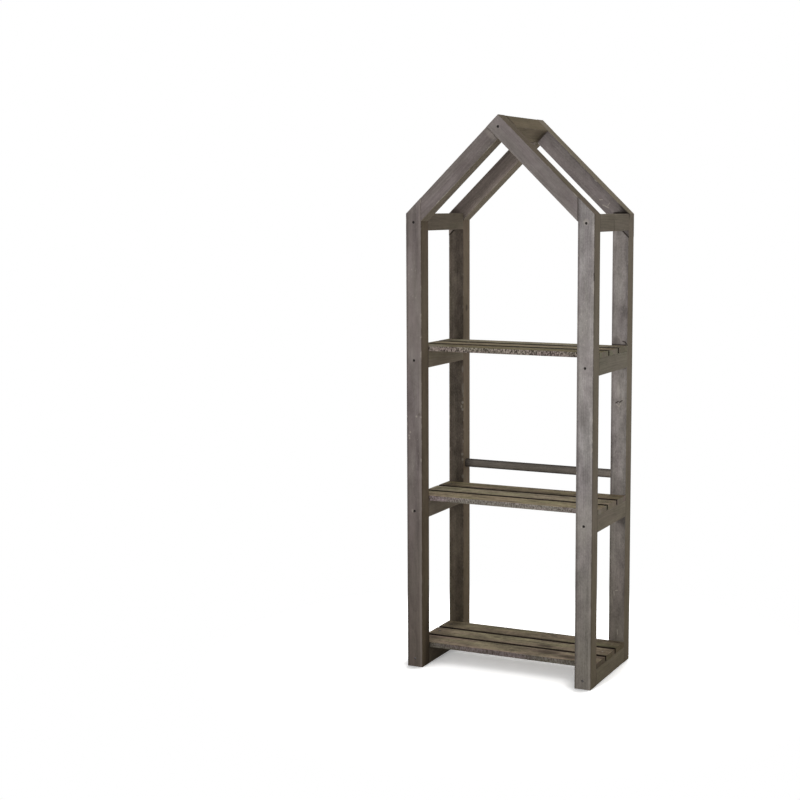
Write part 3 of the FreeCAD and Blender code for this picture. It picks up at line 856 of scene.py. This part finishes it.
RAFTER_LOOKS = {
    "front_left_rafter": {
        "front": (0.72, 0.70, 0.695), "side": 1.13, "mottle": 0.6,
        "knots": ((-150, 19, 6, 10, 7, 0.8),),
        "scuffs_and_painted_light": ((-25, -19, 0, 6, 16, 0.16),),
    },
    "front_right_rafter": {
        "front": 0.84, "side": (0.86, 0.83, 0.795), "mottle": 0.6,
        "knots": ((130, 19, -5, 10, 7, 0.8),),
    },
    "rear_left_rafter": {
        "front": (1.13, 1.08, 1.0), "side": 1.34, "mottle": 0.8, "bloom_and_painted_sheen": 0.0,
        "knots": ((-120, 19, 4, 9, 6, 0.8),),
        # The first stain is a painted shadow in the corner above the left eave rail
        "stains_and_painted_shadows": ((-285, -19, 8, 14, 14, 0.5), (-110, -19, 16, 90, 6, 0.3)),
        "cuts": (((-277, -19), (-331, -19), 2.6, 0.9),),
    },
    "rear_right_rafter": {
        "front": 0.80, "side": (1.10, 1.095, 1.135), "upper": (1.305, 1.315, 1.28),
        "mottle": 0.9, "wear": 0.7,
        "knots": ((190, 19, -4, 10, 7, 0.8),),
        # The first two stains are a painted shadow in the corner above the right eave rail
        "stains_and_painted_shadows": ((290, -19, 16, 14, 9, 0.6), (278, -19, 19, 17, 5, 0.55), (185, -19, 14, 20, 5, 0.15)),
        "scratches": (
            ((221, -7), (226, -2), 1.6, 0.5), ((235, -10), (249, -5), 1.6, 0.5),
            ((245, -3), (244, 4), 1.5, 0.4),
        ),
        "cuts": (((277, -19), (331, -19), 2.6, 0.9), ((293, 19), (268, -4), 4.0, 0.8)),
    },
}
RIDGE_LOOK = {
    "side": (1.06, 1.03, 0.97), "upper": (1.0, 0.96, 0.85),
    # The first two stains are a painted shadow on the ridge batten beside the rear right rafter
    "stains_and_painted_shadows": ((90, -19, 0, 20, 17, 0.6), (84, -19, 2, 52, 15, 0.3), (-92, 6, 19, 8, 20, 0.4)),
}
# Tones of the cross members by the way a face looks; the left base rail's dark tone is painted shade, as
# its inner side lies under the bottom shelf
CROSS_TONES = {
    "left_eave_rail": 1.0, "right_eave_rail": (1.035, 1.045, 1.085),
    "upper_left_bearer": 1.38, "upper_right_bearer": (1.22, 1.29, 1.33),
    "middle_left_bearer": (1.325, 1.34, 1.42), "middle_right_bearer": (1.22, 1.25, 1.30),
    "left_base_rail": (0.785, 0.80, 0.815), "right_base_rail": (1.18, 1.215, 1.22),
}
CROSS_MARKS = {
    "right_eave_rail": {
        "upper": (1.11, 1.135, 1.17),
        "scuffs_and_painted_light": ((40, -19, 0, 40, 20, 0.04),),
        "cuts": (((-6, 4), (-4, -19), 2.8, 0.45),),
    },
}
SLAT_LOOK = {"flat": 1.6, "streaky": 2.2, "bloom_and_painted_sheen": 0.0, "drift": 0.8}
SHELF_TONES = {
    "bottom": {"front": (0.72, 0.74, 0.755), "side": (0.80, 0.775, 0.67), "rough": 0.75, "gap_shade": 0.9},
    "middle": {"front": (0.90, 0.90, 0.875), "side": 1.31, "rough": 0.95, "gap_shade": 1.2},
    "upper": {"front": (0.765, 0.74, 0.64), "side": (1.20, 1.27, 1.26), "rough": 1.25, "gap_shade": 2.4},
}
# Whether a row of slats has a gap in front of it and behind it
ROW_GAPS = {"front": (0.0, 1.0), "middle": (1.0, 1.0), "rear": (1.0, 0.0)}
# Tones of the tops of the front, middle and rear slat of each shelf, partly painted light from above
TOP_TONES = {
    "bottom": ((1.36, 1.35, 1.56), (1.275, 1.31, 1.44), (0.955, 0.985, 1.04)),
    "middle": ((1.34, 1.33, 1.30), (1.36, 1.38, 1.44), (0.885, 0.855, 0.835)),
    "upper": ((0.775, 0.78, 0.67), (1.095, 1.085, 1.04), (1.145, 1.205, 1.235)),
}
SLAT_MARKS = {
    "bottom_front_slat": {
        "side": (0.675, 0.65, 0.615),
        "knots": ((12, -9, 6, 8, 5, 0.5),),
        "stains_and_painted_shadows": ((96, 8, 6, 32, 14, 0.65), (150, -4, 6, 26, 12, 0.6)),
    },
    "bottom_middle_slat": {
        "side": (0.85, 0.82, 0.765),
        "knots": ((-60, 8, 6, 9, 6, 0.7),),
        "stains_and_painted_shadows": ((70, -12, 6, 22, 10, 0.55),),
    },
    "bottom_rear_slat": {"knots": ((60, 8, 6, 9, 6, 0.7),)},
    "middle_front_slat": {
        "side": (1.22, 1.26, 1.26),
        "knots": ((-90, 10, 6, 9, 6, 0.7),),
        "scuffs_and_painted_light": ((222, -18, -2, 8, 10, 0.3),),
    },
    "middle_rear_slat": {"side": (1.205, 1.18, 1.285), "knots": ((120, -6, 6, 10, 7, 0.7),)},
    "upper_front_slat": {
        "knots": ((-12, -8, 6, 10, 7, 0.8),),
        "scuffs_and_painted_light": ((-195, -14, 6, 45, 16, 0.45),),
    },
    "upper_middle_slat": {"side": (1.26, 1.345, 1.35)},
    "upper_rear_slat": {"side": (1.07, 1.155, 1.095), "knots": ((110, 6, 6, 10, 7, 0.7),)},
}

# Stain round each left-hand nail: how far it reaches, in millimetres, and how strong it is
NAIL_STAIN_REACH, NAIL_STAIN = 4.4, 0.9

# Stain run over the fasteners: its tone, and where along an axis it starts and is full, in metres
SCREW_COVER = (0.36, "Z", 0.25, 0.10)
NAIL_COVER = (0.8, "X", 0.0, 0.1)

# How dark the joints are: front rafters beside their posts, rear rafters on theirs, and the apexes
FRONT_EAVE_SEAMS = {"left": 0.12, "right": 0.55}
REAR_EAVE_SEAM = 0.95
APEX_SEAMS = {"front": 0.22, "rear": 0.5}


def frame_seams(node):
    """Joint lines on a frame piece: where a rafter meets its post, and where the rafters meet."""
    end, hand, kind = node.split("_")
    side = -1 if hand == "left" else 1
    if kind == "post":
        if end == "front":
            return ()
        return (((side * HALF_WIDTH, EAVE - RAFTER_DROP), -side * PITCH, REAR_EAVE_SEAM),)
    seams = []
    if end == "front":
        seams.append(((side * (HALF_WIDTH - BATTEN), EAVE), math.pi / 2, FRONT_EAVE_SEAMS[hand]))
    turned = -1 if end == "rear" else 1
    if side * turned < 0:
        run = (APEX - APEX_SEAT) / math.tan(PITCH)
        rise = APEX_SEAT - (APEX - RAFTER_DROP)
        slope = math.atan2(rise, -turned * run)
        seams.append(((0.0, APEX - RAFTER_DROP), slope, APEX_SEAMS[end]))
    return tuple(seams)


class SHELF_OT_posts(bpy.types.Operator):
    """Stain the four posts"""

    bl_idname = "shelf_unit.posts"
    bl_label = "Posts"

    def execute(self, context):
        for node, look in POST_LOOKS.items():
            look = {**look, "seams": frame_seams(node)}
            dress(node, "up", BATTEN_HALF, look, batten_coat, context.scene.shelf_timber)
        return {"FINISHED"}


class SHELF_OT_rafters(bpy.types.Operator):
    """Stain the four rafters"""

    bl_idname = "shelf_unit.rafters"
    bl_label = "Rafters"

    def execute(self, context):
        for node, look in RAFTER_LOOKS.items():
            look = {**look, "seams": frame_seams(node)}
            dress(node, "slope", BATTEN_HALF, look, batten_coat, context.scene.shelf_timber)
        return {"FINISHED"}


class SHELF_OT_cross_members(bpy.types.Operator):
    """Stain the ridge batten, the eave rails, the bearers and the base rails"""

    bl_idname = "shelf_unit.cross_members"
    bl_label = "Cross members"

    def execute(self, context):
        finish = context.scene.shelf_timber
        dress("ridge_batten", "ridge", BATTEN_HALF, RIDGE_LOOK, batten_coat, finish)
        for node, tone in CROSS_TONES.items():
            look = {"side": tone, **CROSS_MARKS.get(node, {})}
            dress(node, "deep", BATTEN_HALF, look, batten_coat, finish)
        return {"FINISHED"}


class SHELF_OT_slats(bpy.types.Operator):
    """Stain the nine slats"""

    bl_idname = "shelf_unit.slats"
    bl_label = "Slats"

    def execute(self, context):
        nail_x = (HALF_WIDTH - BATTEN / 2) * MM_PER_M
        for shelf in SHELVES:
            for row, top in zip(SLAT_ROWS, TOP_TONES[shelf]):
                node = f"{shelf}_{row}_slat"
                low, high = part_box(node)
                half = (MM_PER_M * (high.y - low.y) / 2, MM_PER_M * (high.z - low.z) / 2)
                marks = SLAT_MARKS.get(node, {})
                nail = (-nail_x, 0.0, half[1], NAIL_STAIN_REACH, NAIL_STAIN_REACH, NAIL_STAIN)
                look = {
                    **SLAT_LOOK,
                    **SHELF_TONES[shelf],
                    **marks,
                    "top": top,
                    "stains_and_painted_shadows": (*marks.get("stains_and_painted_shadows", ()), nail),
                    "gaps": ROW_GAPS[row],
                }
                dress(node, "across", half, look, slat_coat, context.scene.shelf_timber)
        return {"FINISHED"}


class SHELF_OT_rod(bpy.types.Operator):
    """Stain the hanging rod"""

    bl_idname = "shelf_unit.rod"
    bl_label = "Hanging rod"

    def execute(self, context):
        dress("hanging_rod", "across", NO_EDGES, SMOOTH_LOOK, rod_coat, context.scene.shelf_timber)
        return {"FINISHED"}


class SHELF_OT_fasteners(bpy.types.Operator):
    """Finish the screws, the nails and the hidden dowels"""

    bl_idname = "shelf_unit.fasteners"
    bl_label = "Fasteners"

    def execute(self, context):
        finish = context.scene.shelf_timber
        tone, *cover = SCREW_COVER
        screw = steel("blackened_screw", plain(finish.screw), shaded(finish.front_grey, tone), *cover)
        tone, *cover = NAIL_COVER
        nail = steel("dull_nail", plain(finish.nail), shaded(finish.slat_olive, tone), *cover)
        for side in FRAMES:
            coat_node(f"{side}_frame_screws", screw)
            dress(f"{side}_frame_dowels", "across", NO_EDGES, SMOOTH_LOOK, dowel_coat, finish)
        for shelf in SHELVES:
            coat_node(f"{shelf}_slat_nails", nail)
        return {"FINISHED"}


# Share of the floor's reach at which its shadow starts to fade
FADE_START = 0.6

# Where the painted shadow on the floor starts and is full, by how open the floor is, and its rays
OPENNESS = (0.9, 0.5)
OPENNESS_RAYS = 8


class SHELF_OT_studio(bpy.types.Operator):
    """Lay the floor, light it and place the camera"""

    bl_idname = "shelf_unit.studio"
    bl_label = "Studio"

    def execute(self, context):
        setup = context.scene.shelf_studio
        self.lay_floor(context, setup)
        self.light(context, setup)
        self.place_camera(context, setup)
        context.scene.view_settings.view_transform = "Standard"
        return {"FINISHED"}

    def seen_directly(self, graph):
        """1 for rays that show the studio itself, 0 for light on the object."""
        path = graph.add("ShaderNodeLightPath")
        seen = graph.math("MAXIMUM", path.outputs["Is Camera Ray"], path.outputs["Is Glossy Ray"])
        return graph.math("MAXIMUM", seen, path.outputs["Is Transmission Ray"])

    def painted_contact_shadow(self, graph, setup):
        """Painted shadow on the floor: how closely the unit's feet and rails stand over the floor in
        front of them.
        """
        openness = graph.add("ShaderNodeAmbientOcclusion", samples=OPENNESS_RAYS)
        openness.inputs["Distance"].default_value = setup.contact_reach
        graph.feed(openness.inputs["Normal"], graph.vector("NORMALIZE", tuple(setup.contact_side)))
        return graph.span(openness.outputs["AO"], *OPENNESS, 0.0, setup.contact_depth)

    def lay_floor(self, context, setup):
        """A pale floor: bright white seen directly, darker in the unit's shadow and in a painted shadow
        round its feet.
        """
        mesh = bpy.data.meshes.new("studio_floor")
        shape = bmesh.new()
        bmesh.ops.create_grid(shape, x_segments=1, y_segments=1, size=setup.floor_size / 2)
        shape.to_mesh(mesh)
        shape.free()
        floor = bpy.data.objects.new("studio_floor", mesh)
        context.scene.collection.objects.link(floor)
        material, graph = new_material("pale_floor")
        matt = graph.add("ShaderNodeBsdfDiffuse")
        matt.inputs["Color"].default_value = (*plain(setup.floor), 1.0)
        white = graph.add("ShaderNodeBsdfDiffuse")
        white.inputs["Color"].default_value = (*(setup.floor_gain,) * 3, 1.0)
        glow = graph.add("ShaderNodeEmission")
        away = graph.vector("LENGTH", graph.add("ShaderNodeTexCoord").outputs["Object"])
        faded = graph.span(away, FADE_START * setup.floor_reach, setup.floor_reach)
        shown = graph.blend(faded, white.outputs[0], glow.outputs[0])
        # Painted shadow: a flat grey glow mixed into the floor where the unit hems it in
        shade = graph.add("ShaderNodeEmission")
        shade.inputs["Strength"].default_value = setup.contact_shade
        shown = graph.blend(self.painted_contact_shadow(graph, setup), shown, shade.outputs[0])
        output = graph.add("ShaderNodeOutputMaterial")
        floor_look = graph.blend(self.seen_directly(graph), matt.outputs[0], shown)
        graph.feed(output.inputs["Surface"], floor_look)
        mesh.materials.append(material)

    def light(self, context, setup):
        """Even light from all round, a key light in front and a fill light behind."""
        world = bpy.data.worlds.new("even_light")
        world.use_nodes = True
        graph = Graph(world.node_tree)
        background = graph.add("ShaderNodeBackground")
        background.inputs["Color"].default_value = (1.0, 1.0, 1.0, 1.0)
        strength = graph.span(self.seen_directly(graph), 0.0, 1.0, setup.ambient, 1.0, False)
        graph.feed(background.inputs["Strength"], strength)
        output = graph.add("ShaderNodeOutputWorld")
        graph.feed(output.inputs["Surface"], background.outputs[0])
        context.scene.world = world
        aim = setup.aim
        size, power = setup.key_size, setup.key_power
        self.hang_lamp(context, "key_light", setup.key_place, aim, size, power)
        size, power = setup.fill_size, setup.fill_power
        fill = self.hang_lamp(context, "fill_light", setup.fill_place, aim, size, power)
        fill.visible_glossy = False

    def hang_lamp(self, context, name, place, aim, size, power):
        """A square soft lamp."""
        lamp = bpy.data.lights.new(name, "AREA")
        lamp.shape = "SQUARE"
        lamp.size = size
        lamp.energy = power
        holder = bpy.data.objects.new(name, lamp)
        holder.location = place
        holder.rotation_euler = (Vector(aim) - holder.location).to_track_quat("-Z", "Y").to_euler()
        context.scene.collection.objects.link(holder)
        return holder

    def place_camera(self, context, setup):
        """The camera at the photograph's viewing angle."""
        lens = bpy.data.cameras.new("photo_camera")
        lens.lens = setup.lens
        lens.shift_x, lens.shift_y = setup.shift
        camera = bpy.data.objects.new("photo_camera", lens)
        camera.location = setup.camera_place
        camera.rotation_euler = (math.pi / 2 - setup.camera_pitch, 0, setup.camera_yaw)
        context.scene.collection.objects.link(camera)
        context.scene.camera = camera


STEPS = (
    SHELF_OT_posts,
    SHELF_OT_rafters,
    SHELF_OT_cross_members,
    SHELF_OT_slats,
    SHELF_OT_rod,
    SHELF_OT_fasteners,
    SHELF_OT_studio,
)


class SHELF_PT_panel(bpy.types.Panel):
    """Lists the steps that dress the shelf unit"""

    bl_idname = "SHELF_PT_panel"
    bl_label = "Shelf unit"
    bl_space_type = "VIEW_3D"
    bl_region_type = "UI"
    bl_category = "Shelf unit"

    def draw(self, context):
        for step in STEPS:
            self.layout.operator(step.bl_idname)
        for settings in (context.scene.shelf_timber, context.scene.shelf_studio):
            box = self.layout.box()
            for name in settings.__annotations__:
                box.prop(settings, name)


CLASSES = (TimberFinish, StudioSetup, *STEPS, SHELF_PT_panel)


def register():
    for item in CLASSES:
        bpy.utils.register_class(item)
    bpy.types.Scene.shelf_timber = PointerProperty(type=TimberFinish)
    bpy.types.Scene.shelf_studio = PointerProperty(type=StudioSetup)


def unregister():
    del bpy.types.Scene.shelf_studio
    del bpy.types.Scene.shelf_timber
    for item in reversed(CLASSES):
        bpy.utils.unregister_class(item)


def main():
    register()
    bpy.ops.shelf_unit.posts()
    bpy.ops.shelf_unit.rafters()
    bpy.ops.shelf_unit.cross_members()
    bpy.ops.shelf_unit.slats()
    bpy.ops.shelf_unit.rod()
    bpy.ops.shelf_unit.fasteners()
    bpy.ops.shelf_unit.studio()


if __name__ == "__main__":
    main()
